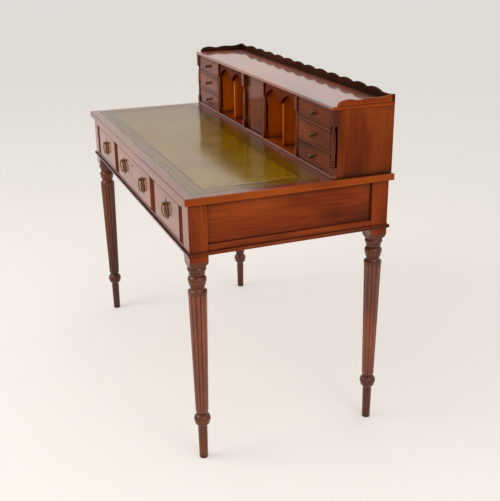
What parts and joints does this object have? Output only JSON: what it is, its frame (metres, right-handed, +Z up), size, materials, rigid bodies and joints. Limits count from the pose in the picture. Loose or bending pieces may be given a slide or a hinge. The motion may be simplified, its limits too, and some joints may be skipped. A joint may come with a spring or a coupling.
{
  "type": "bonheur du jour",
  "caption": "Writing desk with a leather top, frieze drawers, reeded turned legs and a low galleried superstructure of pigeonholes, small drawers and a door.",
  "frame": {"origin": "on the floor, under the middle of the overall box", "axes": "+X to the sitter's right, -Y towards the sitter, +Z up"},
  "size_m": [1.116, 0.5826, 0.9686],
  "materials": {
    "mahogany": "dark red-brown mahogany, French polished",
    "drawer_lining": "plain brown hardwood, waxed",
    "green_leather": "olive green skiver, antiqued and tooled at the border",
    "antique_brass": "aged brass, rubbed bright on the high places"
  },
  "bodies": {
    "root": {"writing_top": "mahogany", "leather_skiver": "green_leather", "leg_front_left": "mahogany", "leg_front_right": "mahogany", "leg_back_left": "mahogany", "leg_back_right": "mahogany", "front_rails": "mahogany", "reeded_stiles": "mahogany", "end_panel_left": "mahogany", "end_panel_right": "mahogany", "end_bead_rails": "mahogany", "back_panel": "mahogany", "base_moulding": "mahogany", "drawer_runners": "drawer_lining", "drawer_guides": "drawer_lining", "upper_side_left": "mahogany", "upper_side_right": "mahogany", "upper_back": "mahogany", "upper_floor": "mahogany", "upper_top": "mahogany", "upper_partitions": "mahogany", "pigeonhole_dividers": "mahogany", "arch_fascias": "mahogany", "columns": "mahogany", "small_drawer_shelves": "mahogany", "door_hinges": "antique_brass", "gallery_back": "mahogany", "gallery_left": "mahogany", "gallery_right": "mahogany"},
    "left_drawer": {"left_drawer_front": "mahogany", "left_drawer_box": "drawer_lining", "left_drawer_lock": "antique_brass", "left_drawer_pull_plate": "antique_brass"},
    "left_drawer_ring": {"left_drawer_ring": "antique_brass"},
    "right_drawer": {"right_drawer_front": "mahogany", "right_drawer_box": "drawer_lining", "right_drawer_lock": "antique_brass", "right_drawer_pull_plate": "antique_brass"},
    "right_drawer_ring": {"right_drawer_ring": "antique_brass"},
    "centre_drawer": {"centre_drawer_front": "mahogany", "centre_drawer_box": "drawer_lining", "centre_drawer_lock": "antique_brass", "centre_drawer_pull_plates": "antique_brass"},
    "centre_drawer_ring_left": {"centre_drawer_ring_left": "antique_brass"},
    "centre_drawer_ring_right": {"centre_drawer_ring_right": "antique_brass"},
    "small_drawer_left_bottom": {"small_drawer_left_bottom": "mahogany", "small_drawer_left_bottom_knob": "antique_brass"},
    "small_drawer_left_middle": {"small_drawer_left_middle": "mahogany", "small_drawer_left_middle_knob": "antique_brass"},
    "small_drawer_left_top": {"small_drawer_left_top": "mahogany", "small_drawer_left_top_knob": "antique_brass"},
    "small_drawer_right_bottom": {"small_drawer_right_bottom": "mahogany", "small_drawer_right_bottom_knob": "antique_brass"},
    "small_drawer_right_middle": {"small_drawer_right_middle": "mahogany", "small_drawer_right_middle_knob": "antique_brass"},
    "small_drawer_right_top": {"small_drawer_right_top": "mahogany", "small_drawer_right_top_knob": "antique_brass"},
    "centre_door": {"centre_door": "mahogany", "door_hinge_leaves": "antique_brass"}
  },
  "joints": [
    {"name": "left_drawer_slide", "type": "slide", "parent": "root", "child": "left_drawer", "axis": [0, -1, 0], "range_m": [0, 0.32]},
    {"name": "left_drawer_ring_swing", "type": "hinge", "parent": "left_drawer", "child": "left_drawer_ring", "pos_m": [-0.3555, -0.2867, 0.687], "axis": [-1, 0, 0], "range_deg": [0, 85]},
    {"name": "right_drawer_slide", "type": "slide", "parent": "root", "child": "right_drawer", "axis": [0, -1, 0], "range_m": [0, 0.32]},
    {"name": "right_drawer_ring_swing", "type": "hinge", "parent": "right_drawer", "child": "right_drawer_ring", "pos_m": [0.3555, -0.2867, 0.687], "axis": [-1, 0, 0], "range_deg": [0, 85]},
    {"name": "centre_drawer_slide", "type": "slide", "parent": "root", "child": "centre_drawer", "axis": [0, -1, 0], "range_m": [0, 0.32]},
    {"name": "centre_drawer_ring_left_swing", "type": "hinge", "parent": "centre_drawer", "child": "centre_drawer_ring_left", "pos_m": [-0.111, -0.2867, 0.687], "axis": [-1, 0, 0], "range_deg": [0, 85]},
    {"name": "centre_drawer_ring_right_swing", "type": "hinge", "parent": "centre_drawer", "child": "centre_drawer_ring_right", "pos_m": [0.111, -0.2867, 0.687], "axis": [-1, 0, 0], "range_deg": [0, 85]},
    {"name": "small_drawer_left_bottom_slide", "type": "slide", "parent": "root", "child": "small_drawer_left_bottom", "axis": [0, -1, 0], "range_m": [0, 0.1]},
    {"name": "small_drawer_left_middle_slide", "type": "slide", "parent": "root", "child": "small_drawer_left_middle", "axis": [0, -1, 0], "range_m": [0, 0.1]},
    {"name": "small_drawer_left_top_slide", "type": "slide", "parent": "root", "child": "small_drawer_left_top", "axis": [0, -1, 0], "range_m": [0, 0.1]},
    {"name": "small_drawer_right_bottom_slide", "type": "slide", "parent": "root", "child": "small_drawer_right_bottom", "axis": [0, -1, 0], "range_m": [0, 0.1]},
    {"name": "small_drawer_right_middle_slide", "type": "slide", "parent": "root", "child": "small_drawer_right_middle", "axis": [0, -1, 0], "range_m": [0, 0.1]},
    {"name": "small_drawer_right_top_slide", "type": "slide", "parent": "root", "child": "small_drawer_right_top", "axis": [0, -1, 0], "range_m": [0, 0.1]},
    {"name": "centre_door_hinge", "type": "hinge", "parent": "root", "child": "centre_door", "pos_m": [-0.0718, 0.1195, 0.851], "axis": [0, 0, -1], "range_deg": [0, 95]}
  ]
}
